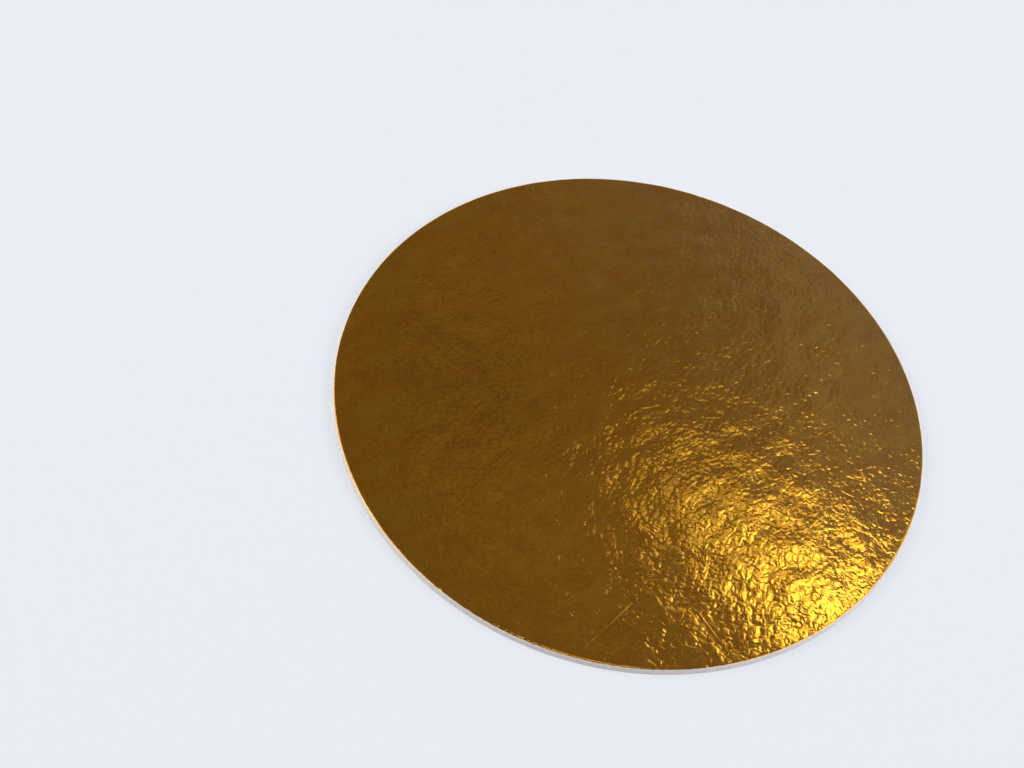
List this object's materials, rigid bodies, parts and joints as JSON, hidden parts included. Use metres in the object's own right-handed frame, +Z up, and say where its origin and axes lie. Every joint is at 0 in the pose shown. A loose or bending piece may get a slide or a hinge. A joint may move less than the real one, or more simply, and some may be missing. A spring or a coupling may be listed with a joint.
{
  "type": "round cake board",
  "caption": "Thin round die-cut board with a gold foil face, for carrying, cutting and serving a cake.",
  "frame": {"origin": "centre of the underside, on the surface that the board rests on", "axes": "+Z up, out of the foil face; -Y towards the viewer of the picture"},
  "size_m": [0.152, 0.152, 0.0015],
  "materials": {
    "foil_faced_board": "white board, gold metallised foil with a fine orange-peel relief on the top face, bare cut edge and plain back"
  },
  "bodies": {
    "root": {"cake_board": "foil_faced_board"}
  },
  "joints": []
}
